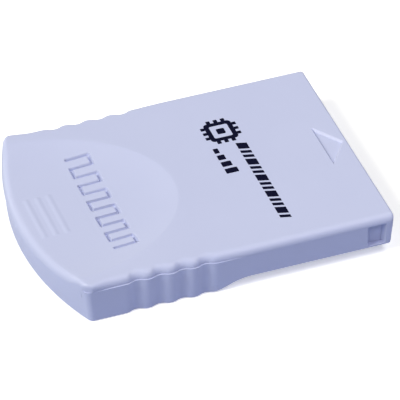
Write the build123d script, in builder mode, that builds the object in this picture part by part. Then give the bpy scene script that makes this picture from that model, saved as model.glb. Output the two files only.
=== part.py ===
from build123d import *
import math
import os

# Case, outside
case_length = 61.2
case_width = 44.0
grip_thickness = 8.0
insert_thickness = 6.2
insert_reach = 26.2
ramp_length = 8.2
end_bulge = 5.0
end_lean = 0.6
insert_lean = 0.4
grip_corner_radius = 1.2
top_edge_radius = 1.3
insert_corner_radius = 0.8
rim_chamfer = 0.5
bottom_edge_chamfer = 0.2

# Parting line between cover and tray
seam_height = 6.5
skirt_height = 4.7
skirt_margin = 1.4
skirt_clearance = 0.1

# Flutes along both sides of the grip
flute_count = 4
flute_pitch = 4.17
flute_depth = 0.5
flute_offset = 14.1

# Thumb dish in the top of the grip
dish_depth = 1.7
dish_offset = 1.0
dish_reach = 27.7
dish_half_width = 19.75

# Small raised ribs in the dish
rib_count = 3
rib_pitch = 2.05
rib_length = 11.4
rib_width = 0.7
rib_height = 0.15
rib_offset = 3.3

# Sunk pulse line across the dish
pulse_count = 6
pulse_pitch = 4.6
pulse_height = 4.6
pulse_stroke = 0.7
pulse_depth = 0.45
pulse_offset = 15.4

# Sunk arrow at the insert end
arrow_base = 11.3
arrow_height = 4.1
arrow_depth = 0.35
arrow_gap = 0.7

# Keying notches in the sides of the tray, with a ramp at the front and a thin floor
notch_length = 3.4
notch_depth = 0.9
notch_gap = 1.55
notch_ramp = 0.6
notch_floor = 0.5

# Case, inside
side_wall = 1.6
roof_wall = 1.4
floor_wall = 1.4
notch_wall = 1.2
mouth_width = 31.0

# Bosses and spigots that join the two halves
boss_diameter = 4.4
spigot_diameter = 2.4
spigot_rise = 1.2
socket_clearance = 0.1
boss_spread = 30.0
grip_boss_offset = 11.5
board_boss_gap = 30.9

# Circuit board
board_thickness = 1.0
board_lift = 0.6
board_length = 35.0
board_recess = 0.8
board_clearance = 0.3
board_rest_width = 1.2
board_rest_gap = 4.6
hole_clearance = 0.2

# Contact pads on the tongue of the board
pad_count = 12
pad_pitch = 2.3
pad_width = 1.5
pad_length = 5.0
pad_thickness = 0.1
pad_gap = 0.4

# Memory chip
memory_length = 18.4
memory_width = 12.0
memory_height = 1.0
memory_leads = 16
memory_lead_pitch = 0.7
memory_lead_width = 0.3
memory_gap = 22.0

# Controller chip
controller_size = 7.0
controller_height = 1.0
controller_leads = 6
controller_lead_pitch = 1.0
controller_lead_width = 0.4
controller_gap = 6.6
controller_shift = -9.0

# Lead form shared by both chips
lead_thickness = 0.15
lead_reach = 0.9
lead_foot = 0.45
chip_standoff = 0.1
chip_chamfer = 0.1
dimple_diameter = 0.9
dimple_inset = 1.2
dimple_depth = 0.08

# Small ceramic capacitors and resistors
small_part_length = 1.6
small_part_width = 0.8
capacitor_height = 0.8
resistor_height = 0.45
terminal_length = 0.35
capacitor_count = 4
resistor_count = 5
small_part_pitch = 2.2
capacitor_gap = 8.6
resistor_gap = 12.0
small_part_shift = 3.5

# Places worked out from the sizes above; the two roll values are cuts that facet the rolled edge
half_width = case_width / 2
insert_end = case_length / 2
grip_end = -case_length / 2
corner_x = grip_end + end_bulge
end_radius = (half_width**2 + end_bulge**2) / (2 * end_bulge)
end_centre_x = grip_end + end_radius
insert_floor = grip_thickness - insert_thickness
ramp_end = insert_end - insert_reach
ramp_start = ramp_end - ramp_length
roof_height = grip_thickness - roof_wall
board_bottom = insert_floor + floor_wall + board_lift
board_top = board_bottom + board_thickness
board_front = insert_end - board_recess
notch_front = insert_end - notch_gap
notch_back = notch_front - notch_length
pocket_half_width = half_width - notch_depth - notch_wall
grip_boss_x = grip_end + grip_boss_offset
board_boss_x = board_front - board_boss_gap
dish_x = grip_end + dish_offset
dish_floor = grip_thickness - dish_depth
dish_long_radius = (dish_reach**2 + dish_depth**2) / (2 * dish_depth)
dish_cross_radius = (dish_half_width**2 + dish_depth**2) / (2 * dish_depth)
dish_angle = math.degrees(math.asin(dish_reach / dish_long_radius))
roll_cut = top_edge_radius * (2 - math.sqrt(2))
roll_blend = top_edge_radius * (math.sqrt(2) - 1 - math.tan(math.pi / 16))
overrun = grip_thickness


def fluted_side(side):
    """Draw one long side: straight runs joined to a wave of equal arcs; side is +1 or -1."""
    edge = side * half_width
    middle = side * (half_width - flute_depth / 2)
    valley = side * (half_width - flute_depth)
    first = grip_end + flute_offset
    last = first + (flute_count - 1) * flute_pitch
    quarter = flute_pitch / 4
    Line((corner_x, edge), (first - 2 * quarter, edge))
    TangentArc((first - 2 * quarter, edge), (first - quarter, middle), tangent=(1, 0))
    for index in range(flute_count):
        x = first + index * flute_pitch
        ThreePointArc((x - quarter, middle), (x, valley), (x + quarter, middle))
        if index < flute_count - 1:
            ThreePointArc((x + quarter, middle), (x + 2 * quarter, edge), (x + 3 * quarter, middle))
    TangentArc((last + 2 * quarter, edge), (last + quarter, middle), tangent=(-1, 0))
    Line((last + 2 * quarter, edge), (insert_end, edge))


def case_outline():
    """Plan of the case with sharp corners."""
    with BuildSketch() as outline:
        with BuildLine():
            fluted_side(1)
            fluted_side(-1)
            Line((insert_end, -half_width), (insert_end, half_width))
            ThreePointArc((corner_x, -half_width), (grip_end, 0), (corner_x, half_width))
        make_face()
    return outline.sketch


def cavity_outline(gap):
    """Plan of the hollow, one wall and a gap inside the case and stepped in behind the notches."""
    with BuildSketch() as outline:
        with BuildLine():
            Line((corner_x, half_width), (insert_end, half_width))
            Line((insert_end, half_width), (insert_end, -half_width))
            Line((insert_end, -half_width), (corner_x, -half_width))
            ThreePointArc((corner_x, -half_width), (grip_end, 0), (corner_x, half_width))
        make_face()
        offset(amount=-side_wall - gap, kind=Kind.INTERSECTION)
        for side in (1, -1):
            with Locations((insert_end, side * half_width)):
                Rectangle(
                    2 * (insert_end - notch_back + notch_wall),
                    2 * (half_width - pocket_half_width),
                    mode=Mode.SUBTRACT,
                )
    return outline.sketch


def dish_body(drop):
    """Solid that fills the dish, lowered by drop: a shallow arc turned about a distant cross axis."""
    swing = 2 * dish_angle
    rise = grip_thickness
    long_radius = dish_long_radius + drop
    cross_radius = dish_cross_radius + drop
    reach = math.sqrt(2 * cross_radius * rise - rise**2)
    axis_point = (dish_x, 0, dish_floor + dish_long_radius)
    tilt = math.radians(swing)
    start = Plane(
        origin=axis_point,
        x_dir=(0, 1, 0),
        z_dir=(-math.cos(tilt), 0, math.sin(tilt)),
    )
    with BuildPart() as body:
        with BuildSketch(start):
            with BuildLine():
                ThreePointArc((-reach, long_radius - rise), (0, long_radius), (reach, long_radius - rise))
                Line((reach, long_radius - rise), (-reach, long_radius - rise))
            make_face()
        revolve(axis=Axis(axis_point, (0, -1, 0)), revolution_arc=2 * swing)
    return body.part


def cavity_block(top, base):
    """Plan of the hollow raised from base to top."""
    with BuildPart() as block:
        with BuildSketch(Plane.XY.offset(base)):
            add(cavity_outline(0))
        extrude(amount=top - base)
    return block.part


def boss_places():
    """Centres of the four bosses: a pair in the grip and a pair that carries the board."""
    return [(x, side * boss_spread / 2) for x in (grip_boss_x, board_boss_x) for side in (1, -1)]


def board_boss_places():
    """Centres of the pair of bosses under the board."""
    return [(board_boss_x, side * boss_spread / 2) for side in (1, -1)]


def underside_cut():
    """Space under the insert part: a flat step reached by an S of two equal arcs."""
    front = insert_end + overrun
    ramp_middle = ((ramp_start + ramp_end) / 2, insert_floor / 2)
    with BuildPart() as cut:
        with BuildSketch(Plane.XZ):
            with BuildLine():
                TangentArc((ramp_start, 0), ramp_middle, tangent=(1, 0))
                TangentArc((ramp_end, insert_floor), ramp_middle, tangent=(-1, 0))
                Line((ramp_end, insert_floor), (front, insert_floor))
                Line((front, insert_floor), (front, -overrun))
                Line((front, -overrun), (ramp_start, -overrun))
                Line((ramp_start, -overrun), (ramp_start, 0))
            make_face()
        extrude(amount=half_width + overrun, both=True)
    return cut.part


def cavity_floor():
    """Solid under the hollow of the tray, one floor thickness above the underside."""
    back = grip_end - overrun
    front = insert_end + overrun
    high = floor_wall + insert_floor
    ramp_middle = ((ramp_start + ramp_end) / 2, floor_wall + insert_floor / 2)
    with BuildPart() as floor:
        with BuildSketch(Plane.XZ):
            with BuildLine():
                Line((back, 0), (back, floor_wall))
                Line((back, floor_wall), (ramp_start, floor_wall))
                TangentArc((ramp_start, floor_wall), ramp_middle, tangent=(1, 0))
                TangentArc((ramp_end, high), ramp_middle, tangent=(-1, 0))
                Line((ramp_end, high), (front, high))
                Line((front, high), (front, 0))
                Line((front, 0), (back, 0))
            make_face()
        extrude(amount=half_width + overrun, both=True)
    return floor.part


def skirt_zone(gap):
    """Part of the grip end wall that belongs to the cover, narrowed on each side by gap."""
    with BuildPart() as zone:
        with BuildSketch(Plane.XY.offset(skirt_height)):
            with Locations((grip_end, 0)):
                Rectangle(2 * (end_bulge + side_wall), case_width - 2 * (skirt_margin + gap))
        extrude(amount=seam_height - skirt_height)
    return zone.part


def gull_lead(body_height, width):
    """One bent lead, from the chip's side out along +X and down to a foot on the board."""
    rise = chip_standoff + body_height / 2
    knee = lead_reach - lead_foot
    with BuildPart() as lead:
        with BuildSketch(Plane.XZ):
            with BuildLine():
                Polyline(
                    (0, rise),
                    (knee, rise),
                    (knee, lead_thickness),
                    (lead_reach, lead_thickness),
                    (lead_reach, 0),
                    (knee - lead_thickness, 0),
                    (knee - lead_thickness, rise - lead_thickness),
                    (0, rise - lead_thickness),
                    close=True,
                )
            make_face()
        extrude(amount=width / 2, both=True)
    return lead.part


def below_seam():
    """Ring of wall under the parting line that the cover leaves to the tray, with its clearance."""
    with BuildPart() as zone:
        with BuildSketch(Plane.XY.offset(skirt_height)):
            Rectangle(case_length + overrun, case_width + overrun)
            add(cavity_outline(skirt_clearance), mode=Mode.SUBTRACT)
        extrude(amount=seam_height - skirt_height)
        add(skirt_zone(skirt_clearance), mode=Mode.SUBTRACT)
    return zone.part


def dished_form():
    """Form whose whole top is the dish surface, rolled over where the dish runs out at the grip end."""
    front = insert_end + overrun
    side = half_width + overrun
    with BuildPart() as form:
        with BuildSketch(Plane.XY.offset(skirt_height)):
            with BuildLine():
                ThreePointArc((corner_x, -half_width), (grip_end, 0), (corner_x, half_width))
                Polyline(
                    (corner_x, half_width),
                    (corner_x + overrun, side),
                    (front, side),
                    (front, -side),
                    (corner_x + overrun, -side),
                    (corner_x, -half_width),
                )
            make_face()
        extrude(amount=grip_thickness + dish_depth / 2 - skirt_height)
        add(dish_body(0), mode=Mode.SUBTRACT)
        chamfer(form.edges().filter_by(GeomType.BSPLINE).sort_by(Axis.X)[0], roll_cut)
        chamfer(form.edges().filter_by(GeomType.BSPLINE).sort_by(Axis.X)[:2], roll_blend)
    return form.part


def cover_hollow():
    """Hollow of the cover: one roof thickness under the flat top and under the dish."""
    with BuildPart() as hollow:
        add(cavity_block(roof_height, skirt_height))
        add(dish_body(roof_wall), mode=Mode.SUBTRACT)
    return hollow.part


def cover_bosses():
    """Hanging bosses: the pair over the board stops on it, the pair in the grip on the tray's bosses."""
    with BuildPart() as bosses:
        for x, y in boss_places():
            with BuildSketch(Plane.XY.offset(clamp_height(x))):
                with Locations((x, y)):
                    Circle(boss_diameter / 2)
            extrude(amount=roof_height + roof_wall / 2 - clamp_height(x))
        add(dish_body(roof_wall / 2), mode=Mode.SUBTRACT)
    return bosses.part


def clamp_height(boss_x):
    """Height at which a hanging boss ends."""
    if boss_x == board_boss_x:
        return board_top
    return board_bottom


def dish_relief(plan, low, high):
    """Plan raised through the dish and kept between two levels measured from the dish surface."""
    with BuildPart() as relief:
        with BuildSketch(Plane.XY.offset(dish_floor)):
            add(plan)
        extrude(amount=2 * dish_depth, both=True)
        add(dish_body(-high), mode=Mode.SUBTRACT)
        add(dish_body(-low), mode=Mode.INTERSECT)
    return relief.part


def rib_plan():
    """Plan of the small grip ribs."""
    with BuildSketch() as plan:
        for index in range(rib_count):
            with Locations((grip_end + rib_offset + index * rib_pitch, 0)):
                SlotOverall(rib_length, rib_width, rotation=90)
    return plan.sketch


def pulse_plan():
    """Plan of a square-wave line across the card, drawn as strokes."""
    x = grip_end + pulse_offset
    first = -(pulse_count - 0.5) * pulse_pitch / 2
    bar = pulse_pitch / 2
    with BuildSketch() as plan:
        for index in range(2 * pulse_count):
            y = first + index * bar
            level = x + (-1) ** index * (pulse_height - pulse_stroke) / 2
            with Locations((x, y)):
                Rectangle(pulse_height, pulse_stroke)
            if index < 2 * pulse_count - 1:
                with Locations((level, y + bar / 2)):
                    Rectangle(pulse_stroke, bar + pulse_stroke)
    return plan.sketch


def end_lean_ring():
    """Thin ring cut from the grip end of the tray, so that the end wall leans in towards the bottom."""
    with BuildPart() as ring:
        with BuildSketch(Plane.XZ):
            with BuildLine():
                Polyline(
                    (grip_end, seam_height),
                    (grip_end + end_lean, 0),
                    (grip_end - overrun, 0),
                    (grip_end - overrun, seam_height),
                    close=True,
                )
            make_face()
        revolve(axis=Axis((end_centre_x, 0, 0), (0, 0, 1)))
    return ring.part


def insert_lean_wedge():
    """Wedge cut from the insert end of the tray, so that its face leans in towards the bottom."""
    with BuildPart() as wedge:
        with BuildSketch(Plane.XZ):
            with BuildLine():
                Polyline(
                    (insert_end, seam_height),
                    (insert_end - insert_lean, insert_floor),
                    (insert_end - insert_lean, 0),
                    (insert_end + overrun, 0),
                    (insert_end + overrun, seam_height),
                    close=True,
                )
            make_face()
        extrude(amount=half_width + overrun, both=True)
    return wedge.part


def notch_plan(side):
    """Plan of one keying notch, whose front face ramps out to the side; side is +1 or -1."""
    edge = side * half_width
    back = side * (half_width - notch_depth)
    out = side * (half_width + overrun)
    with BuildSketch() as plan:
        with BuildLine():
            Polyline(
                (notch_back, out),
                (notch_back, back),
                (notch_front - notch_ramp, back),
                (notch_front, edge),
                (notch_front, out),
                close=True,
            )
        make_face()
    return plan.sketch


def tray_hollow():
    """Hollow of the tray, with the bosses and the board's front rest left standing in it."""
    rest_x = board_front - board_rest_gap
    with BuildPart() as hollow:
        add(cavity_block(seam_height, 0))
        add(cavity_floor(), mode=Mode.SUBTRACT)
        with BuildSketch():
            with Locations(*boss_places()):
                Circle(boss_diameter / 2)
            with Locations((rest_x, 0)):
                Rectangle(board_rest_width, mouth_width)
        extrude(amount=board_bottom, mode=Mode.SUBTRACT)
    return hollow.part


def small_part_places(gap, count):
    """Centres of a column of small parts, gap behind the front edge of the board."""
    return [(board_front - gap, small_part_shift + index * small_part_pitch) for index in range(count)]


def small_part_bodies(places):
    """Plan of the ceramic middles of a column of small parts."""
    with BuildSketch() as plan:
        with Locations(*places):
            Rectangle(small_part_length - 2 * terminal_length, small_part_width)
    return plan.sketch


def small_part_terminals(places):
    """Plan of the metal ends of a column of small parts, one on each side of every body."""
    with BuildSketch() as plan:
        with Locations(*places):
            with GridLocations(small_part_length - terminal_length, 0, 2, 1):
                Rectangle(terminal_length, small_part_width)
    return plan.sketch


os.makedirs("parts", exist_ok=True)

# Upper shell: shallow cover with the thumb dish, ribs, arrow and sockets
with BuildPart() as upper_shell:
    with BuildSketch(Plane.XY.offset(skirt_height)) as cover_plan:
        add(case_outline())
        fillet(cover_plan.vertices().group_by(Axis.X)[0], grip_corner_radius)
    extrude(amount=grip_thickness - skirt_height)
    top_edges = upper_shell.faces().sort_by(Axis.Z)[-1].edges().sort_by(Axis.X)
    chamfer(top_edges[:-1], roll_cut)
    edge_levels = upper_shell.edges().group_by(Axis.Z)
    chamfer(edge_levels[-3] + edge_levels[-1].sort_by(Axis.X)[:-1], roll_blend)
    insert_face = upper_shell.faces().sort_by(Axis.X)[-1]
    chamfer(insert_face.edges().sort_by(Axis.Z)[1:], rim_chamfer)
    add(dished_form(), mode=Mode.INTERSECT)
    add(below_seam(), mode=Mode.SUBTRACT)
    add(cover_hollow(), mode=Mode.SUBTRACT)
    add(cover_bosses())
    add(dish_relief(rib_plan(), -rib_height, rib_height))
    add(dish_relief(pulse_plan(), -pulse_depth, pulse_depth), mode=Mode.SUBTRACT)
    with BuildSketch(Plane.XY.offset(grip_thickness)):
        with BuildLine():
            arrow_tip = insert_end - arrow_gap
            Polyline(
                (arrow_tip, 0),
                (arrow_tip - arrow_height, arrow_base / 2),
                (arrow_tip - arrow_height, -arrow_base / 2),
                close=True,
            )
        make_face()
    extrude(amount=-arrow_depth, mode=Mode.SUBTRACT)
    for x, y in boss_places():
        with BuildSketch(Plane.XY.offset(clamp_height(x))):
            with Locations((x, y)):
                Circle(spigot_diameter / 2 + socket_clearance)
        extrude(amount=spigot_rise + socket_clearance, mode=Mode.SUBTRACT)
upper_shell.part.label = "upper_shell"
export_step(upper_shell.part, "parts/upper_shell.step")

# Lower shell: deep tray with the stepped underside, mouth, notches, bosses and spigots
with BuildPart() as lower_shell:
    with BuildSketch():
        add(case_outline())
    extrude(amount=seam_height)
    add(end_lean_ring(), mode=Mode.SUBTRACT)
    add(insert_lean_wedge(), mode=Mode.SUBTRACT)
    for side in (0, -1):
        for end, radius in ((0, grip_corner_radius), (-1, insert_corner_radius)):
            side_edges = lower_shell.edges().group_by(Axis.Y)[side]
            fillet(side_edges.sort_by(Axis.X)[end], radius)
    add(underside_cut(), mode=Mode.SUBTRACT)
    under_edges = lower_shell.edges().filter_by(
        lambda edge: edge.bounding_box().max.Z < insert_floor + bottom_edge_chamfer
    )
    chamfer(under_edges.filter_by(Axis.Y, reverse=True), bottom_edge_chamfer)
    add(skirt_zone(0), mode=Mode.SUBTRACT)
    add(tray_hollow(), mode=Mode.SUBTRACT)
    with BuildSketch(Plane.XY.offset(insert_floor + floor_wall)):
        with Locations((insert_end, 0)):
            Rectangle(2 * side_wall, mouth_width)
    extrude(amount=seam_height - insert_floor - floor_wall, mode=Mode.SUBTRACT)
    with BuildSketch(Plane.XY.offset(insert_floor + notch_floor)):
        for side in (1, -1):
            add(notch_plan(side))
    extrude(amount=seam_height - insert_floor - notch_floor, mode=Mode.SUBTRACT)
    for x, y in boss_places():
        with BuildSketch(Plane.XY.offset(board_bottom)):
            with Locations((x, y)):
                Circle(spigot_diameter / 2)
        extrude(amount=clamp_height(x) + spigot_rise - board_bottom)
lower_shell.part.label = "lower_shell"
export_step(lower_shell.part, "parts/lower_shell.step")

# Circuit board with its tongue in the mouth and two holes for the spigots
board_back = board_front - board_length
board_half_width = pocket_half_width - board_clearance
tongue_width = mouth_width - 2 * board_clearance
tongue_length = side_wall - board_recess + board_clearance
with BuildPart() as circuit_board:
    with BuildSketch(Plane.XY.offset(board_bottom)):
        with Locations(((board_back + board_front - tongue_length) / 2, 0)):
            Rectangle(board_length - tongue_length, 2 * board_half_width)
        with Locations((board_front - tongue_length, 0)):
            Rectangle(2 * tongue_length, tongue_width)
        with Locations(*board_boss_places()):
            Circle(spigot_diameter / 2 + hole_clearance, mode=Mode.SUBTRACT)
    extrude(amount=board_thickness)
circuit_board.part.label = "circuit_board"
export_step(circuit_board.part, "parts/circuit_board.step")

# Contact pads along the front edge of the board
with BuildPart() as contact_pads:
    with BuildSketch(Plane.XY.offset(board_top)):
        with Locations((board_front - pad_gap - pad_length / 2, 0)):
            with GridLocations(0, pad_pitch, 1, pad_count):
                Rectangle(pad_length, pad_width)
    extrude(amount=pad_thickness)
contact_pads.part.label = "contact_pads"
export_step(contact_pads.part, "parts/contact_pads.step")

# Memory chip: flat moulded body with a dimple at its first lead
memory_x = board_front - memory_gap
with BuildPart() as memory_chip:
    with BuildSketch(Plane.XY.offset(board_top + chip_standoff)):
        with Locations((memory_x, 0)):
            Rectangle(memory_width, memory_length)
    extrude(amount=memory_height)
    chamfer(memory_chip.faces().sort_by(Axis.Z)[-1].edges(), chip_chamfer)
    with BuildSketch(Plane.XY.offset(board_top + chip_standoff + memory_height)):
        with Locations((memory_x - memory_width / 2 + dimple_inset, memory_length / 2 - dimple_inset)):
            Circle(dimple_diameter / 2)
    extrude(amount=-dimple_depth, mode=Mode.SUBTRACT)
memory_chip.part.label = "memory_chip"
export_step(memory_chip.part, "parts/memory_chip.step")

# Leads of the memory chip, a row on each short side
memory_lead = gull_lead(memory_height, memory_lead_width)
with BuildPart() as memory_chip_leads:
    for turn in (90, -90):
        with Locations(Location((memory_x, 0, board_top), (0, 0, turn))):
            with Locations((memory_length / 2, 0)):
                with GridLocations(0, memory_lead_pitch, 1, memory_leads):
                    add(memory_lead)
memory_chip_leads.part.label = "memory_chip_leads"
export_step(memory_chip_leads.part, "parts/memory_chip_leads.step")

# Controller chip: square moulded body with a dimple at its first lead
controller_x = board_front - controller_gap - controller_size / 2
with BuildPart() as controller_chip:
    with BuildSketch(Plane.XY.offset(board_top + chip_standoff)):
        with Locations((controller_x, controller_shift)):
            Rectangle(controller_size, controller_size)
    extrude(amount=controller_height)
    chamfer(controller_chip.faces().sort_by(Axis.Z)[-1].edges(), chip_chamfer)
    dimple_place = controller_size / 2 - dimple_inset
    with BuildSketch(Plane.XY.offset(board_top + chip_standoff + controller_height)):
        with Locations((controller_x - dimple_place, controller_shift + dimple_place)):
            Circle(dimple_diameter / 2)
    extrude(amount=-dimple_depth, mode=Mode.SUBTRACT)
controller_chip.part.label = "controller_chip"
export_step(controller_chip.part, "parts/controller_chip.step")

# Leads of the controller chip, a row on each of its four sides
controller_lead = gull_lead(controller_height, controller_lead_width)
with BuildPart() as controller_chip_leads:
    for turn in (0, 90, 180, 270):
        with Locations(Location((controller_x, controller_shift, board_top), (0, 0, turn))):
            with Locations((controller_size / 2, 0)):
                with GridLocations(0, controller_lead_pitch, 1, controller_leads):
                    add(controller_lead)
controller_chip_leads.part.label = "controller_chip_leads"
export_step(controller_chip_leads.part, "parts/controller_chip_leads.step")

# Smoothing capacitors
capacitor_places = small_part_places(capacitor_gap, capacitor_count)
with BuildPart() as capacitors:
    with BuildSketch(Plane.XY.offset(board_top)):
        add(small_part_bodies(capacitor_places))
    extrude(amount=capacitor_height)
capacitors.part.label = "capacitors"
export_step(capacitors.part, "parts/capacitors.step")
with BuildPart() as capacitor_terminals:
    with BuildSketch(Plane.XY.offset(board_top)):
        add(small_part_terminals(capacitor_places))
    extrude(amount=capacitor_height)
capacitor_terminals.part.label = "capacitor_terminals"
export_step(capacitor_terminals.part, "parts/capacitor_terminals.step")

# Line resistors
resistor_places = small_part_places(resistor_gap, resistor_count)
with BuildPart() as resistors:
    with BuildSketch(Plane.XY.offset(board_top)):
        add(small_part_bodies(resistor_places))
    extrude(amount=resistor_height)
resistors.part.label = "resistors"
export_step(resistors.part, "parts/resistors.step")
with BuildPart() as resistor_terminals:
    with BuildSketch(Plane.XY.offset(board_top)):
        add(small_part_terminals(resistor_places))
    extrude(amount=resistor_height)
resistor_terminals.part.label = "resistor_terminals"
export_step(resistor_terminals.part, "parts/resistor_terminals.step")
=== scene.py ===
import math

import bmesh
import bpy
import numpy as np
from mathutils import Matrix, Vector


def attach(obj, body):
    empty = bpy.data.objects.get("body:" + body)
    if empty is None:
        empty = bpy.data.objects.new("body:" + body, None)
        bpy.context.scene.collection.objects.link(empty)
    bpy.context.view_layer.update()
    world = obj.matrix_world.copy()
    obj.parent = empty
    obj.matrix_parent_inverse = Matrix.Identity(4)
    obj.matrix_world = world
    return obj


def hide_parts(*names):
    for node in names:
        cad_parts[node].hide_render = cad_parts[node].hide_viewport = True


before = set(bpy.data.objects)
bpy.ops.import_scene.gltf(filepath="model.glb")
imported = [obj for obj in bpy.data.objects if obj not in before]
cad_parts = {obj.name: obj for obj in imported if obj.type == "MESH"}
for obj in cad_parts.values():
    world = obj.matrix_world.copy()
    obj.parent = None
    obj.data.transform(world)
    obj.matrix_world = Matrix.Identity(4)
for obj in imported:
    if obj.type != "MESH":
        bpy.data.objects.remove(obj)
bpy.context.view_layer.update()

# Lengths are written in millimetres and angles in degrees, and turned where they meet Blender
MM = 0.001
WELD_DISTANCE = 0.00001
NEARLY_ZERO = 1e-9
SHARP_ANGLE = 30.0
COVER_SHARP_ANGLE = 50.0

# Case, as the solids have it
HALF_WIDTH = 22.0
INSERT_END = 30.6
GRIP_END = -30.6
TOP = 8.0
INK_THICKNESS = 0.02
FACE = TOP - INK_THICKNESS
END_BULGE = 5.0
END_RADIUS = (HALF_WIDTH**2 + END_BULGE**2) / (2 * END_BULGE)
SEAM_HEIGHT = 6.5
SKIRT_HEIGHT = 4.7
SKIRT_HALF_WIDTH = 20.58
END_LEAN = 0.6
WALL = 1.6
ROOF_WALL = 1.4

# Rounding of the cover: rolled edge, insert edge, plan corners and the lip at the parting line
EDGE_ROLL = 1.44
CORNER_ROLL = 0.85
CORNER_ROLL_REACH = 5.0
INSERT_ROLL = 0.5
GRIP_CORNER = 1.2
INSERT_CORNER = 0.8
LIP_ROUND = 0.03
LIP_GUARD = 0.06
LIP_TURNS = (45, 90)

# Cover set in from the tray at the parting line, along the flutes
FLUTE_LEDGE = 0.22

# Flutes along both sides
FLUTE_COUNT = 4
FLUTE_PITCH = 4.17
FLUTE_DEPTH = 0.5
FLUTE_FIRST = -16.5

# Thumb dish
DISH_X = -29.6
DISH_DEPTH = 1.7
DISH_REACH = 27.7
DISH_HALF_WIDTH = 19.75
DISH_LONG_RADIUS = (DISH_REACH**2 + DISH_DEPTH**2) / (2 * DISH_DEPTH)
DISH_CROSS_RADIUS = (DISH_HALF_WIDTH**2 + DISH_DEPTH**2) / (2 * DISH_DEPTH)
DISH_FULLNESS = 1.8
DISH_RIM_SOFTNESS = 0.03

# Ribs in the dish
RIB_COUNT = 3
RIB_PITCH = 2.05
RIB_FIRST = -27.3
RIB_HALF_LENGTH = 5.7
RIB_HALF_WIDTH = 0.36
RIB_HEIGHT = 0.10

# Sunk square-wave line across the dish
PULSE_COUNT = 6
PULSE_PITCH = 4.6
PULSE_X = -15.2
PULSE_HALF_HEIGHT = 2.0
PULSE_HALF_STROKE = 0.39
PULSE_DEPTH = 0.62
PULSE_SLOPE = 0.27

# Sunk arrow at the insert end
ARROW_TIP = 29.9
ARROW_HEIGHT = 4.1
ARROW_HALF_BASE = 5.65
ARROW_DEPTH = 0.42
ARROW_SLOPE = 0.32

# Grid of the cover's face: where its columns change spacing along the card, and its rows across it
RIB_COLUMNS_END = -21.5
PULSE_COLUMNS_START = -17.75
PULSE_COLUMNS_END = -12.65
DISH_COLUMNS_END = -0.5
ARROW_COLUMNS_START = 24.8
PULSE_ROWS_END = 13.2
COLUMN_SPACING = 0.075
ROW_SPACING = 0.1
RIB_SPACING = 0.19
GAP_SPACING = 0.3
DISH_SPACING = 0.26
FLAT_SPACING = 1.2
ARROW_SPACING = 0.125
SIDE_SPACING = 0.45
SKIRT_STEP = 0.04
EDGE_SPACING = 0.2
ROLL_STEPS = 10
INSERT_ROLL_STEPS = 6
SETTLING_ROUNDS = 4

# Dark print on the flat face: a chip, a level gauge and a row of slanted bars
MARK_CORNER_POINTS = 7
CHIP_MARK = (10.6, 9.9)
CHIP_RING = 5.1
CHIP_RING_STROKE = 0.85
CHIP_RING_ROUND = 0.7
CHIP_HOLE_ROUND = 0.3
CHIP_CORE = 1.5
CHIP_CORE_ROUND = 0.25
CHIP_PIN_LENGTH = 0.75
CHIP_PIN_WIDTH = 0.75
CHIP_PIN_PITCH = 1.35
CHIP_PIN_ROUND = 0.12
LEVEL_COUNT = 4
LEVEL_PITCH = 1.95
LEVEL_WIDTH = 1.35
LEVEL_HEIGHT = 2.3
LEVEL_FOOT = 7.4
LEVEL_FIRST = 4.9
LEVEL_ROUND = 0.15
DASH_X = 12.75
DASH_HEIGHT = 1.9
DASH_FIRST = 5.6
DASH_COUNT = 14
DASH_WIDE = 1.7
DASH_NARROW = 0.75
DASH_GAP = 0.5
DASH_SLANT = 0.5

# Inside of the cover: rings of its roof, as shares of its plan, and hanging bosses
ROOF_RINGS = (1.0, 0.8, 0.55, 0.3, 0.1)
SKIRT_REACH = 0.2
BOSS_SIDES = 48
BOSS_RADIUS = 2.2
SOCKET_RADIUS = 1.3
SOCKET_DEPTH = 1.3
BOSS_SPREAD = 15.0
GRIP_BOSS = (-19.1, 3.8)
BOARD_BOSS = (-1.1, 4.8)

# Surfaces: depth of the grain, and the bands of track across the board
GRAIN_DEPTH = 0.02
DRIFT_DETAIL = 3.0
GRAIN_DETAIL = 2.0
TRACK_SCALE = 130.0
TRACK_WANDER = 0.6
TRACK_EDGE = (0.62, 0.68)
TRACK_COLOUR = (44, 128, 76)

# Sockets of Blender's mix node for colours
MIX_SHARE, MIX_FIRST, MIX_SECOND, MIX_RESULT = 0, 6, 7, 2

# The photograph's viewpoint
VIEW_AZIMUTH = 20.94
VIEW_ELEVATION = 39.37
VIEW_ROLL = 0.60
VIEW_DISTANCE = 808.0
VIEW_TARGET = (2.2, -2.2, 4.0)
SENSOR_WIDTH = 36.0
LENS = 418.0
CLIP_START = 10.0
CLIP_END = 50000.0

# Studio: a paper floor, coloured for the light it gives back and white for the eye, and its surround
FLOOR_LEVEL = -0.03
FLOOR_HALF_SIZE = 3000.0
PAPER_COLOUR = (0.33, 0.40, 0.64, 1)
PAPER_WHITE = (0.8, 0.8, 0.8, 1)
PAPER_SEEN = (0.9, 0.9, 0.9, 1)
PAPER_GLOW = 0.4
FILL_COLOUR = (0.85, 0.9, 1.0, 1)
FILL_STRENGTH = 0.02

# Softboxes: size as a share of the distance; then azimuth from +X, elevation, distance, watts and colour
LAMP_SPREAD = 0.43
LAMPS = {
    "left_key": (184, 43, 3000, 85.0, (1.0, 0.98, 0.85)),
    "left_front_low": (222, 9, 1400, 1.7, (1.0, 0.985, 0.86)),
    "front_fill": (300, 56, 1400, 7.2, (0.92, 0.9, 0.98)),
    "right_high": (2, 63, 900, 2.1, (1.0, 1.0, 0.92)),
    "back_low": (112, 8, 1400, 3.6, (1.0, 0.99, 0.93)),
    "under_fill": (0, -90, 1400, 4.0, (1.0, 0.99, 0.95)),
}


def soft_step(value, low, high):
    """Smooth rise from 0 at low to 1 at high: three times the square less twice the cube of the share."""
    share = np.clip((value - low) / (high - low), 0, 1)
    return share**2 * (3 - 2 * share)


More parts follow.
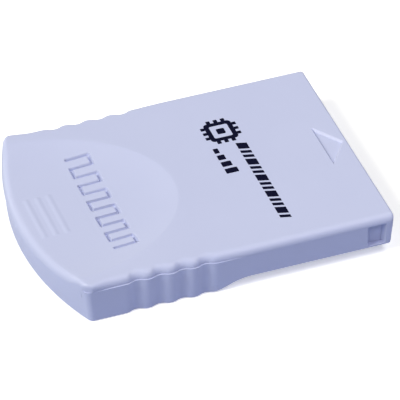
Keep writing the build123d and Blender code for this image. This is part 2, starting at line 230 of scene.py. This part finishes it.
def end_arc(y):
    """X of the bowed grip end at y: the circle through both corners and the middle of the end."""
    return GRIP_END + END_RADIUS - np.sqrt(END_RADIUS**2 - y**2)


def flute_wave(x):
    """Depth of the flutes at x: equal arcs that swing between the side line and the valleys.

    Each half wave is an arc of one radius, so the depth is that radius less the root of its square
    less the square of the distance along the side from the nearest crest or valley."""
    quarter = FLUTE_PITCH / 4
    sagitta = FLUTE_DEPTH / 2
    radius = (quarter**2 + sagitta**2) / (2 * sagitta)
    first = FLUTE_FIRST - 2 * quarter
    last = FLUTE_FIRST + (FLUTE_COUNT - 1) * FLUTE_PITCH + 2 * quarter
    phase = np.mod(x - first, FLUTE_PITCH)
    from_crest = np.minimum(phase, FLUTE_PITCH - phase)
    from_valley = 2 * quarter - from_crest
    crest = radius - np.sqrt(np.maximum(radius**2 - from_crest**2, 0))
    valley = FLUTE_DEPTH - radius + np.sqrt(np.maximum(radius**2 - from_valley**2, 0))
    depth = np.where(from_crest < quarter, crest, valley)
    return np.where((x > first) & (x < last), depth, 0)


def cover_side(x):
    """Half width of the cover at x: the side line less the flutes and the ledge at the parting line."""
    reach = FLUTE_PITCH
    first = FLUTE_FIRST - reach
    last = FLUTE_FIRST + (FLUTE_COUNT - 1) * FLUTE_PITCH + reach
    along_flutes = soft_step(x, first - reach, first) * (1 - soft_step(x, last - reach, last + reach))
    return HALF_WIDTH - flute_wave(x) - FLUTE_LEDGE * along_flutes


def dish_surface(x, y):
    """Height of the dish: an arc across the card turned about a distant cross axis, then made fuller.

    The share of the depth still missing is raised to a power, so that the floor is flatter and the
    rim steeper."""
    arc_rise = DISH_CROSS_RADIUS - np.sqrt(DISH_CROSS_RADIUS**2 - y**2)
    turned = np.sqrt((DISH_LONG_RADIUS - arc_rise) ** 2 - (x - DISH_X) ** 2)
    depth = DISH_DEPTH + turned - DISH_LONG_RADIUS
    missing = 1 - np.clip(depth / DISH_DEPTH, 0, 1)
    return TOP - np.minimum(depth, 0) - DISH_DEPTH * (1 - missing**DISH_FULLNESS)


def lower_of(one, two, softness):
    """The lower of two heights, blended where they are within softness of each other."""
    share = np.clip(0.5 + 0.5 * (two - one) / softness, 0, 1)
    return two + (one - two) * share - softness * share * (1 - share)


def rib_relief(x, y):
    """Height of the grip ribs: a rounded hump across each rib that fades out at its ends."""
    relief = np.zeros_like(x)
    fade = 1 - soft_step(np.abs(y), RIB_HALF_LENGTH - 2 * RIB_HALF_WIDTH, RIB_HALF_LENGTH)
    for index in range(RIB_COUNT):
        away = np.abs(x - RIB_FIRST - index * RIB_PITCH)
        relief += RIB_HEIGHT * fade * (1 - soft_step(away, 0, 2 * RIB_HALF_WIDTH))
    return relief


def pulse_relief(x, y):
    """Depth of the sunk line: a sloped groove about a square wave, from the distance to its strokes."""
    bar = PULSE_PITCH / 2
    first = -(2 * PULSE_COUNT - 1) * bar / 2
    nearest = np.full_like(x, PULSE_PITCH)
    for index in range(2 * PULSE_COUNT):
        bar_y = first + index * bar
        beyond = np.maximum(np.abs(x - PULSE_X) - PULSE_HALF_HEIGHT, 0)
        nearest = np.minimum(nearest, np.hypot(beyond, y - bar_y))
        if index < 2 * PULSE_COUNT - 1:
            level = PULSE_X + (-1) ** index * PULSE_HALF_HEIGHT
            beyond = np.maximum(np.abs(y - bar_y - bar / 2) - bar / 2, 0)
            nearest = np.minimum(nearest, np.hypot(x - level, beyond))
    return -PULSE_DEPTH * (1 - soft_step(nearest, PULSE_HALF_STROKE - PULSE_SLOPE, PULSE_HALF_STROKE))


def arrow_relief(x, y):
    """Depth of the sunk arrow: a flat floor inside three sloped edges."""
    slant = math.hypot(ARROW_HEIGHT, ARROW_HALF_BASE)
    from_base = x - (ARROW_TIP - ARROW_HEIGHT)
    from_slants = ((ARROW_TIP - x) * ARROW_HALF_BASE - np.abs(y) * ARROW_HEIGHT) / slant
    inside = np.minimum(from_base, from_slants)
    return -ARROW_DEPTH * soft_step(inside, 0, ARROW_SLOPE)


def cover_top(x, y):
    """Height of the cover's face before its edges are rolled: flat, dish, ribs, sunk line and arrow."""
    face = lower_of(np.full_like(x, FACE), dish_surface(x, y), DISH_RIM_SOFTNESS)
    return face + rib_relief(x, y) + pulse_relief(x, y) + arrow_relief(x, y)


def roll_steps(count):
    """Distances in from an edge, as shares of its radius, for equal steps round a quarter circle."""
    return 1 - np.sin(np.linspace(math.pi / 2, 0, count + 1))


def grip_roll(y):
    """Radius of the rolled edge along the grip end, tighter towards the corners."""
    near_corner = soft_step(np.abs(y), HALF_WIDTH - CORNER_ROLL_REACH, HALF_WIDTH - EDGE_ROLL)
    return EDGE_ROLL - (EDGE_ROLL - CORNER_ROLL) * near_corner


def long_roll(x):
    """Radius of the rolled edge along the sides, tighter towards the grip corners."""
    corner_x = GRIP_END + END_BULGE
    past_corner = soft_step(x, corner_x, corner_x + CORNER_ROLL_REACH)
    return CORNER_ROLL + (EDGE_ROLL - CORNER_ROLL) * past_corner


def spaced(*stretches):
    """Places along a line made of stretches (start, end, spacing) that follow on from each other."""
    runs = [np.linspace(a, b, max(2, round((b - a) / step) + 1))[:-1] for a, b, step in stretches]
    return np.concatenate(runs + [[stretches[-1][1]]])


def grid_columns():
    """Columns along the card between the rolled edges, closest at the ribs, sunk line and arrow."""
    return spaced(
        (GRIP_END + EDGE_ROLL, RIB_COLUMNS_END, RIB_SPACING),
        (RIB_COLUMNS_END, PULSE_COLUMNS_START, GAP_SPACING),
        (PULSE_COLUMNS_START, PULSE_COLUMNS_END, COLUMN_SPACING),
        (PULSE_COLUMNS_END, DISH_COLUMNS_END, DISH_SPACING),
        (DISH_COLUMNS_END, ARROW_COLUMNS_START, FLAT_SPACING),
        (ARROW_COLUMNS_START, INSERT_END - INSERT_ROLL, ARROW_SPACING),
    )


def grid_rows():
    """Rows across the card between the rolled edges, with a close pair where the skirt steps down."""
    inner_side = HALF_WIDTH - EDGE_ROLL
    corner_side = HALF_WIDTH - CORNER_ROLL
    skirt_share = (SKIRT_HALF_WIDTH - PULSE_ROWS_END) / (corner_side - PULSE_ROWS_END)
    skirt_row = PULSE_ROWS_END + skirt_share * (inner_side - PULSE_ROWS_END)
    before, after = skirt_row - SKIRT_STEP / 2, skirt_row + SKIRT_STEP / 2
    half = spaced(
        (0, PULSE_ROWS_END, ROW_SPACING),
        (PULSE_ROWS_END, before, SIDE_SPACING),
        (before, after, SKIRT_STEP),
        (after, inner_side, EDGE_SPACING),
    )
    return np.concatenate([-half[:0:-1], half])


def cover_grid():
    """Plan and height of the cover's face on a grid of columns along the card and rows across it.

    The grid is square where the sunk line and the print lie. Towards the grip end its columns bow by a
    growing share of the end's bow, and towards the sides its rows follow a growing share of the flutes.
    The outermost ones step round the rolled edges. End and side depend on each other, so the plan is
    worked out a few times over until it settles."""
    columns, rows = grid_columns(), grid_rows()
    steps = roll_steps(ROLL_STEPS)[:-1]
    insert_steps = roll_steps(INSERT_ROLL_STEPS)[:-1]
    zeros, ones = np.zeros_like, np.ones_like
    from_grip = np.concatenate([steps, ones(columns), ones(insert_steps)])[:, None]
    insert_x = INSERT_END - INSERT_ROLL * insert_steps[::-1]
    straight_x = np.concatenate([columns[0] + zeros(steps), columns, insert_x])[:, None]
    bow = np.clip((PULSE_COLUMNS_START - straight_x) / (PULSE_COLUMNS_START - columns[0]), 0, 1)
    from_side = np.concatenate([steps, ones(rows), steps[::-1]])[None, :]
    straight_y = np.concatenate([rows[0] + zeros(steps), rows, rows[-1] + zeros(steps)])[None, :]
    follow = np.clip((np.abs(straight_y) - PULSE_ROWS_END) / (rows[-1] - PULSE_ROWS_END), 0, 1)

    y = straight_y + 0 * straight_x
    for _ in range(SETTLING_ROUNDS):
        arc = end_arc(y)
        end_roll = grip_roll(y)
        x = straight_x + bow * (arc + end_roll * from_grip - columns[0])
        side = cover_side(x)
        side_roll = long_roll(x)
        y = straight_y + np.sign(straight_y) * follow * (side - side_roll * from_side - rows[-1])

    end_gap = {-1: x - arc, 1: INSERT_END - x}
    side_gap = {-1: y + side, 1: side - y}
    end_rolls = {-1: end_roll, 1: INSERT_ROLL}
    x, y = round_corners(x, y, end_gap, side_gap)
    height = cover_top(x, y) - edge_drop(end_gap, side_gap, end_rolls, side_roll)
    return np.stack([x, y, height], -1)


def round_corners(x, y, end_gap, side_gap):
    """Plan corners: the grid's square corner blocks drawn into quarter discs.

    Each coordinate is taken times the root of one less half the square of the other."""
    for end, size in ((-1, GRIP_CORNER), (1, INSERT_CORNER)):
        for side in (-1, 1):
            a = np.clip(1 - end_gap[end] / size, 0, 1)
            b = np.clip(1 - side_gap[side] / size, 0, 1)
            x = x - end * size * a * (1 - np.sqrt(1 - b**2 / 2))
            y = y - side * size * b * (1 - np.sqrt(1 - a**2 / 2))
    return x, y


def edge_drop(end_gap, side_gap, end_rolls, side_roll):
    """Fall of the rolled edges: the radius times one less the root of one less the squared reach.

    The reach is 0 where the roll begins and 1 at the wall; in a corner the two rolls are joined round
    a quarter turn and the radius passes from one edge's to the other's."""
    drop = 0
    for end, radius in end_rolls.items():
        for side in (-1, 1):
            a = np.clip(1 - end_gap[end] / radius, 0, 1)
            b = np.clip(1 - side_gap[side] / side_roll, 0, 1)
            reach = np.clip(a**2 + b**2 - a**2 * b**2, 0, 1)
            turn_a = a**2 * (1 - b**2 / 2)
            turn_b = b**2 * (1 - a**2 / 2)
            blended = (radius * turn_a + side_roll * turn_b) / np.maximum(turn_a + turn_b, NEARLY_ZERO)
            drop = np.maximum(drop, blended * (1 - np.sqrt(1 - reach)))
    return drop


def border_loop(columns, rows):
    """Indices of a grid's border, once round, starting at its first corner."""
    index = np.arange(columns * rows).reshape(columns, rows)
    return np.concatenate([index[:-1, 0], index[-1, :-1], index[:0:-1, -1], index[0, :0:-1]])


def grid_faces(columns, rows):
    """Four-cornered faces between neighbouring columns and rows."""
    index = np.arange(columns * rows).reshape(columns, rows)
    return np.stack([index[:-1, :-1], index[1:, :-1], index[1:, 1:], index[:-1, 1:]], -1).reshape(-1, 4)


def loop_faces(one, two):
    """Four-cornered faces between two closed loops of indices."""
    return np.stack([one, two, np.roll(two, -1), np.roll(one, -1)], -1)


def inward(loop):
    """Unit direction into a loop of plan points that runs once round anticlockwise."""
    along = np.roll(loop, -1, 0) - np.roll(loop, 1, 0)
    turned = np.stack([-along[:, 1], along[:, 0]], -1)
    return turned / np.maximum(np.linalg.norm(turned, axis=1, keepdims=True), NEARLY_ZERO)


def cover_walls(edge):
    """Loops that carry the cover's edge down its walls, round the lip and up inside to its roof.

    Below the rolled edge the wall drops straight to the parting line, which lies lower along the skirt
    of the grip end, where it leans in. A guard loop just above the lip keeps the wall's shading level.
    The inner loops are the outer one drawn in about the centre."""
    plan, height = edge[:, :2], edge[:, 2]
    into = inward(plan)
    at_end = plan[:, 0] < end_arc(plan[:, 1]) + SKIRT_REACH
    on_skirt = at_end & (np.abs(plan[:, 1]) < SKIRT_HALF_WIDTH)
    seam = np.where(on_skirt, SKIRT_HEIGHT, SEAM_HEIGHT)
    top = np.minimum(height, SEAM_HEIGHT + LIP_ROUND + LIP_GUARD)
    loops = [np.column_stack([plan, top])]
    for level in (np.minimum(top, seam + LIP_ROUND + LIP_GUARD), seam + LIP_ROUND):
        leant = np.where(on_skirt, END_LEAN * (1 - level / SEAM_HEIGHT), 0)
        lip = plan + np.column_stack([leant, 0 * leant])
        loops.append(np.column_stack([lip, level]))
    for angle in np.radians(LIP_TURNS):
        moved = lip + LIP_ROUND * (1 - math.cos(angle)) * into
        loops.append(np.column_stack([moved, seam + LIP_ROUND * (1 - math.sin(angle))]))
    drawn_in = plan * (1 - WALL / INSERT_END, 1 - WALL / HALF_WIDTH)
    loops.append(np.column_stack([drawn_in, seam]))
    for share in ROOF_RINGS:
        place = share * drawn_in
        roof = np.minimum(TOP, dish_surface(place[:, 0], place[:, 1])) - ROOF_WALL
        loops.append(np.column_stack([place, roof]))
    return loops


def hanging_boss(x, y, bottom):
    """A post under the cover's roof with a blind socket: a stepped profile turned about its axis."""
    roof = min(TOP, float(dish_surface(x, y))) - ROOF_WALL / 2
    profile = [
        (0, bottom + SOCKET_DEPTH),
        (SOCKET_RADIUS, bottom + SOCKET_DEPTH),
        (SOCKET_RADIUS, bottom),
        (BOSS_RADIUS, bottom),
        (BOSS_RADIUS, roof),
        (0, roof),
    ]
    turn = np.linspace(0, 2 * math.pi, BOSS_SIDES + 1)[:-1]
    radius, level = (np.array(v)[:, None] for v in zip(*profile))
    ring = np.stack([x + radius * np.cos(turn), y + radius * np.sin(turn), level + 0 * turn], -1)
    index = np.arange(ring.shape[0] * ring.shape[1]).reshape(ring.shape[:2])
    faces = np.concatenate([loop_faces(a, b) for a, b in zip(index[:-1], index[1:])])
    return ring.reshape(-1, 3), faces


def add_piece(name, points, faces, material, sharp=SHARP_ANGLE):
    """A piece of the object from points in millimetres: doubles merged and faces turned outwards."""
    mesh = bpy.data.meshes.new(name)
    mesh.from_pydata((np.asarray(points) * MM).tolist(), [], [list(map(int, f)) for f in faces])
    work = bmesh.new()
    work.from_mesh(mesh)
    bmesh.ops.remove_doubles(work, verts=work.verts, dist=WELD_DISTANCE * MM)
    bmesh.ops.recalc_face_normals(work, faces=work.faces)
    work.to_mesh(mesh)
    work.free()
    mesh.shade_smooth()
    mesh.set_sharp_from_angle(angle=math.radians(sharp))
    mesh.materials.append(material)
    piece = bpy.data.objects.new(name, mesh)
    bpy.context.scene.collection.objects.link(piece)
    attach(piece, "root")
    return piece


def add_cover(material):
    """The moulded cover: its face on a grid, its walls as loops, a closed roof and four hanging bosses."""
    face = cover_grid()
    columns, rows = face.shape[:2]
    points = [face.reshape(-1, 3)]
    faces = [grid_faces(columns, rows)]
    loop = border_loop(columns, rows)
    edge = points[0][loop]
    count = len(points[0])
    for wall in cover_walls(edge):
        below = count + np.arange(len(loop))
        points.append(wall)
        faces.append(loop_faces(loop, below))
        loop = below
        count += len(loop)
    middle = points[-1].mean(0, keepdims=True)
    points.append(middle)
    closing = np.stack([loop, np.full_like(loop, count), np.roll(loop, -1)], -1).tolist()
    count += 1
    all_faces = np.concatenate(faces).tolist() + closing
    for boss_x, bottom in (GRIP_BOSS, BOARD_BOSS):
        for side in (-1, 1):
            ring, ring_faces = hanging_boss(boss_x, side * BOSS_SPREAD, bottom)
            points.append(ring)
            all_faces += (ring_faces + count).tolist()
            count += len(ring)
    points = np.concatenate(points)
    piece = add_piece("moulded_cover", points, all_faces, material, COVER_SHARP_ANGLE)
    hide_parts("upper_shell")


def rounded_box(x, y, length, width, radius):
    """Outline of a box about (x, y) with quarter-circle corners, anticlockwise."""
    quarter = np.linspace(0, math.pi / 2, MARK_CORNER_POINTS)
    corners = []
    for turn, (side_x, side_y) in enumerate(((1, 1), (-1, 1), (-1, -1), (1, -1))):
        angle = quarter + turn * math.pi / 2
        centre_x = x + side_x * (length / 2 - radius)
        centre_y = y + side_y * (width / 2 - radius)
        round_x = centre_x + radius * np.cos(angle)
        round_y = centre_y + radius * np.sin(angle)
        corners.append(np.stack([round_x, round_y], -1))
    return np.concatenate(corners)


def slanted_box(x, y, length, width, slant):
    """Outline of a bar about (x, y) whose two ends across the card lean by slant."""
    half = length / 2
    lean = slant / 2
    return np.array([
        (x - half, y - width / 2 + lean),
        (x + half, y - width / 2 - lean),
        (x + half, y + width / 2 - lean),
        (x - half, y + width / 2 + lean),
    ])


def film(outline, hole=None):
    """A closed film of ink on the flat face: an outline, with or without a hole of as many points."""
    count = len(outline)
    index = np.arange(count)
    loops = [outline] if hole is None else [outline, hole]
    levels = (FACE - INK_THICKNESS, TOP)
    points = [np.column_stack([loop, np.full(count, level)]) for loop in loops for level in levels]
    faces = loop_faces(index, index + count).tolist()
    if hole is None:
        faces += [index[::-1].tolist(), (index + count).tolist()]
    else:
        faces += loop_faces(index + 2 * count, index + 3 * count)[:, ::-1].tolist()
        faces += loop_faces(index, index + 2 * count)[:, ::-1].tolist()
        faces += loop_faces(index + count, index + 3 * count).tolist()
    return np.concatenate(points), faces


def chip_mark():
    """A chip seen from above: a ring, a core and pins on all four sides."""
    x, y = CHIP_MARK
    hole = CHIP_RING - 2 * CHIP_RING_STROKE
    ring = rounded_box(x, y, CHIP_RING, CHIP_RING, CHIP_RING_ROUND)
    marks = [
        (ring, rounded_box(x, y, hole, hole, CHIP_HOLE_ROUND)),
        (rounded_box(x, y, CHIP_CORE, CHIP_CORE, CHIP_CORE_ROUND), None),
    ]
    reach = CHIP_RING / 2 + CHIP_PIN_LENGTH / 2
    pin = (CHIP_PIN_WIDTH, CHIP_PIN_LENGTH)
    for step in (-1, 0, 1):
        along = CHIP_PIN_PITCH * step
        for side in (-1, 1):
            marks.append((rounded_box(x + along, y + side * reach, *pin, CHIP_PIN_ROUND), None))
            marks.append((rounded_box(x + side * reach, y + along, *pin[::-1], CHIP_PIN_ROUND), None))
    return marks


def level_marks():
    """A row of blocks that grow in height, like a level gauge."""
    marks = []
    for step in range(LEVEL_COUNT):
        height = LEVEL_HEIGHT * (step + 2) / (LEVEL_COUNT + 1)
        y = LEVEL_FIRST - step * LEVEL_PITCH
        marks.append((rounded_box(LEVEL_FOOT + height / 2, y, height, LEVEL_WIDTH, LEVEL_ROUND), None))
    return marks


def dash_marks():
    """A long row of slanted bars, a wide one and two narrow ones by turns."""
    marks = []
    y = DASH_FIRST
    for step in range(DASH_COUNT):
        width = DASH_WIDE if step % 3 == 0 else DASH_NARROW
        marks.append((slanted_box(DASH_X, y - width / 2, DASH_HEIGHT, width, DASH_SLANT), None))
        y -= width + DASH_GAP
    return marks


def add_print(material):
    """The dark print on the flat face: plain shapes as thin films of ink."""
    points, faces, count = [], [], 0
    for outline, hole in chip_mark() + level_marks() + dash_marks():
        film_points, film_faces = film(outline, hole)
        points.append(film_points)
        faces += [[i + count for i in face] for face in film_faces]
        count += len(film_points)
    add_piece("printed_marks", np.concatenate(points), faces, material)


def linear(red, green, blue):
    """Linear colour of a display colour given as three levels from 0 to 255."""
    levels = np.array((red, green, blue)) / 255.0
    return tuple(np.where(levels <= 0.04045, levels / 12.92, ((levels + 0.055) / 1.055) ** 2.4)) + (1.0,)


def mottled(name, dark, light, scale, roughness, grain, metallic=0.0, specular=0.5, stretch=(1, 1, 1)):
    """A surface whose tone and roughness drift between two values, with a fine grain in its normals.

    Drift and grain are noise in the piece's own coordinates; grain gives its scale and strength, and
    stretch draws the drift out along an axis."""
    material = bpy.data.materials.new(name)
    material.use_nodes = True
    tree = material.node_tree
    shader = tree.nodes["Principled BSDF"]
    place = tree.nodes.new("ShaderNodeTexCoord")
    drawn = tree.nodes.new("ShaderNodeMapping")
    drawn.inputs["Scale"].default_value = stretch
    tree.links.new(place.outputs["Object"], drawn.inputs["Vector"])
    drift = tree.nodes.new("ShaderNodeTexNoise")
    drift.inputs["Scale"].default_value = scale
    drift.inputs["Detail"].default_value = DRIFT_DETAIL
    tree.links.new(drawn.outputs["Vector"], drift.inputs["Vector"])
    tone = tree.nodes.new("ShaderNodeMix")
    tone.name = "tone"
    tone.data_type = "RGBA"
    tone.inputs[MIX_FIRST].default_value = linear(*dark)
    tone.inputs[MIX_SECOND].default_value = linear(*light)
    tree.links.new(drift.outputs["Fac"], tone.inputs[MIX_SHARE])
    tree.links.new(tone.outputs[MIX_RESULT], shader.inputs["Base Color"])
    polish = tree.nodes.new("ShaderNodeMapRange")
    polish.inputs["To Min"].default_value = roughness[0]
    polish.inputs["To Max"].default_value = roughness[1]
    tree.links.new(drift.outputs["Fac"], polish.inputs["Value"])
    tree.links.new(polish.outputs["Result"], shader.inputs["Roughness"])
    pits = tree.nodes.new("ShaderNodeTexNoise")
    pits.inputs["Scale"].default_value = grain[0]
    pits.inputs["Detail"].default_value = GRAIN_DETAIL
    tree.links.new(place.outputs["Object"], pits.inputs["Vector"])
    bump = tree.nodes.new("ShaderNodeBump")
    bump.inputs["Strength"].default_value = grain[1]
    bump.inputs["Distance"].default_value = GRAIN_DEPTH * MM
    tree.links.new(pits.outputs["Fac"], bump.inputs["Height"])
    tree.links.new(bump.outputs["Normal"], shader.inputs["Normal"])
    shader.inputs["Metallic"].default_value = metallic
    shader.inputs["Specular IOR Level"].default_value = specular
    return material


def board_laminate():
    """Green solder mask: lighter where bands of copper track run along the board under it."""
    material = mottled("board_laminate", (14, 84, 50), (22, 100, 60), 400, (0.28, 0.4), (3000, 0.1))
    tree = material.node_tree
    place = tree.nodes.new("ShaderNodeTexCoord")
    bands = tree.nodes.new("ShaderNodeTexWave")
    bands.bands_direction = "Y"
    bands.inputs["Scale"].default_value = TRACK_SCALE
    bands.inputs["Distortion"].default_value = TRACK_WANDER
    tree.links.new(place.outputs["Object"], bands.inputs["Vector"])
    edge = tree.nodes.new("ShaderNodeValToRGB")
    for stop, position in zip(edge.color_ramp.elements, TRACK_EDGE):
        stop.position = position
    tree.links.new(bands.outputs["Fac"], edge.inputs["Fac"])
    track = tree.nodes.new("ShaderNodeMix")
    track.data_type = "RGBA"
    track.inputs[MIX_SECOND].default_value = linear(*TRACK_COLOUR)
    tree.links.new(edge.outputs["Color"], track.inputs[MIX_SHARE])
    tree.links.new(tree.nodes["tone"].outputs[MIX_RESULT], track.inputs[MIX_FIRST])
    tree.links.new(track.outputs[MIX_RESULT], tree.nodes["Principled BSDF"].inputs["Base Color"])
    return material


def dress_card():
    """Materials on the card's nodes, and the two pieces that are made here: the cover and the print."""
    plastic = mottled(
        "case_plastic", (181, 187, 220), (185, 191, 223), 90, (0.36, 0.40), (5200, 0.10), specular=0.3
    )
    moulding = mottled("chip_moulding", (36, 36, 39), (46, 46, 49), 900, (0.5, 0.62), (4000, 0.3))
    tinned = mottled(
        "tinned_metal", (205, 206, 208), (226, 226, 226), 1500, (0.28, 0.42), (5000, 0.15), metallic=1.0
    )
    gold = mottled(
        "contact_gold", (228, 196, 132), (240, 212, 150), 500, (0.2, 0.34), (4000, 0.1),
        metallic=1.0, stretch=(1, 6, 1),
    )
    ceramic = mottled(
        "capacitor_ceramic", (168, 142, 112), (188, 162, 128), 2500, (0.4, 0.55), (5000, 0.2)
    )
    ink = mottled("print_ink", (11, 12, 34), (16, 18, 42), 700, (0.7, 0.8), (5200, 0.05), specular=0.02)
    laminate = board_laminate()
    for material, nodes in (
        (plastic, ("upper_shell", "lower_shell")),
        (laminate, ("circuit_board",)),
        (gold, ("contact_pads",)),
        (moulding, ("memory_chip", "controller_chip", "resistors")),
        (tinned, ("memory_chip_leads", "controller_chip_leads")),
        (tinned, ("capacitor_terminals", "resistor_terminals")),
        (ceramic, ("capacitors",)),
    ):
        for node in nodes:
            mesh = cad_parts[node].data
            mesh.materials.clear()
            mesh.materials.append(material)
    add_cover(plastic)
    add_print(ink)


def largest(tree, *values):
    """The largest of some node outputs, as a chain of maximum nodes."""
    result = values[0]
    for value in values[1:]:
        step = tree.nodes.new("ShaderNodeMath")
        step.operation = "MAXIMUM"
        tree.links.new(result, step.inputs[0])
        tree.links.new(value, step.inputs[1])
        result = step.outputs[0]
    return result


def seen_directly(tree, path):
    """One for rays that show a surface to the eye, straight, mirrored or through something clear."""
    kinds = ("Camera", "Glossy", "Transmission")
    return largest(tree, *(path.outputs["Is %s Ray" % kind] for kind in kinds))


def floor_paper():
    """White paper that glows for the eye alone and keeps the card's shadow.

    Mirrored in something it is white too, and the light that it gives back is tinted. Its underside is
    clear and it lets light up from below, so that the card can be seen from there."""
    material = bpy.data.materials.new("floor_paper")
    material.use_nodes = True
    tree = material.node_tree
    tree.nodes.clear()
    paper = tree.nodes.new("ShaderNodeBsdfDiffuse")
    paper.inputs["Color"].default_value = PAPER_COLOUR
    white = tree.nodes.new("ShaderNodeBsdfDiffuse")
    white.inputs["Color"].default_value = PAPER_WHITE
    bright = tree.nodes.new("ShaderNodeBsdfDiffuse")
    bright.inputs["Color"].default_value = PAPER_SEEN
    glow = tree.nodes.new("ShaderNodeEmission")
    glow.inputs["Strength"].default_value = PAPER_GLOW
    lit = tree.nodes.new("ShaderNodeAddShader")
    tree.links.new(bright.outputs[0], lit.inputs[0])
    tree.links.new(glow.outputs[0], lit.inputs[1])
    path = tree.nodes.new("ShaderNodeLightPath")
    mirrored = tree.nodes.new("ShaderNodeMixShader")
    tree.links.new(seen_directly(tree, path), mirrored.inputs[0])
    tree.links.new(paper.outputs[0], mirrored.inputs[1])
    tree.links.new(white.outputs[0], mirrored.inputs[2])
    seen = tree.nodes.new("ShaderNodeMixShader")
    tree.links.new(path.outputs["Is Camera Ray"], seen.inputs[0])
    tree.links.new(mirrored.outputs[0], seen.inputs[1])
    tree.links.new(lit.outputs[0], seen.inputs[2])
    side = tree.nodes.new("ShaderNodeNewGeometry")
    clear = tree.nodes.new("ShaderNodeBsdfTransparent")
    both = tree.nodes.new("ShaderNodeMixShader")
    see_through = largest(tree, side.outputs["Backfacing"], path.outputs["Is Shadow Ray"])
    tree.links.new(see_through, both.inputs[0])
    tree.links.new(seen.outputs[0], both.inputs[1])
    tree.links.new(clear.outputs[0], both.inputs[2])
    output = tree.nodes.new("ShaderNodeOutputMaterial")
    tree.links.new(both.outputs[0], output.inputs["Surface"])
    return material


def add_floor():
    """A wide level floor under the card."""
    mesh = bpy.data.meshes.new("floor")
    signs = ((-1, -1), (1, -1), (1, 1), (-1, 1))
    half = FLOOR_HALF_SIZE * MM
    corners = [(x * half, y * half, FLOOR_LEVEL * MM) for x, y in signs]
    mesh.from_pydata(corners, [], [(0, 1, 2, 3)])
    mesh.materials.append(floor_paper())
    floor = bpy.data.objects.new("floor", mesh)
    bpy.context.scene.collection.objects.link(floor)


def add_area(name, azimuth, elevation, distance, power, colour):
    """A square softbox that faces the card from a direction, in degrees from +X and from the floor."""
    lamp = bpy.data.lights.new(name, "AREA")
    lamp.shape = "SQUARE"
    lamp.size = LAMP_SPREAD * distance * MM
    lamp.energy = power
    lamp.color = colour
    obj = bpy.data.objects.new(name, lamp)
    bpy.context.scene.collection.objects.link(obj)
    turn, rise = math.radians(azimuth), math.radians(elevation)
    away = Vector((math.cos(turn) * math.cos(rise), math.sin(turn) * math.cos(rise), math.sin(rise)))
    obj.location = distance * MM * away
    obj.rotation_euler = (-away).to_track_quat("-Z", "Y").to_euler()


def add_camera():
    """The photograph's viewpoint: a long lens that looks down at the near grip corner."""
    azimuth, elevation, roll = (math.radians(v) for v in (VIEW_AZIMUTH, VIEW_ELEVATION, VIEW_ROLL))
    out = Vector((
        -math.sin(azimuth) * math.cos(elevation),
        -math.cos(azimuth) * math.cos(elevation),
        math.sin(elevation),
    ))
    right = Vector((math.cos(azimuth), -math.sin(azimuth), 0))
    up = out.cross(right)
    turned_right = math.cos(roll) * right + math.sin(roll) * up
    turned_up = -math.sin(roll) * right + math.cos(roll) * up
    camera = bpy.data.cameras.new("camera")
    camera.sensor_width = SENSOR_WIDTH
    camera.lens = LENS
    camera.clip_start = CLIP_START * MM
    camera.clip_end = CLIP_END * MM
    obj = bpy.data.objects.new("camera", camera)
    bpy.context.scene.collection.objects.link(obj)
    place = (Vector(VIEW_TARGET) + VIEW_DISTANCE * out) * MM
    axes = Matrix((turned_right, turned_up, out)).transposed().to_4x4()
    obj.matrix_world = Matrix.Translation(place) @ axes
    bpy.context.scene.camera = obj


def light_world():
    """A white surround for the eye and a weak cool fill for everything else."""
    world = bpy.data.worlds.new("studio")
    bpy.context.scene.world = world
    world.use_nodes = True
    tree = world.node_tree
    fill = tree.nodes["Background"]
    fill.inputs["Color"].default_value = FILL_COLOUR
    fill.inputs["Strength"].default_value = FILL_STRENGTH
    white = tree.nodes.new("ShaderNodeBackground")
    white.inputs["Color"].default_value = (1, 1, 1, 1)
    path = tree.nodes.new("ShaderNodeLightPath")
    mixed = tree.nodes.new("ShaderNodeMixShader")
    tree.links.new(seen_directly(tree, path), mixed.inputs[0])
    tree.links.new(fill.outputs[0], mixed.inputs[1])
    tree.links.new(white.outputs[0], mixed.inputs[2])
    tree.links.new(mixed.outputs[0], tree.nodes["World Output"].inputs["Surface"])


dress_card()
add_floor()
for name, placing in LAMPS.items():
    add_area(name, *placing)
light_world()
add_camera()
bpy.context.scene.view_settings.view_transform = "Standard"
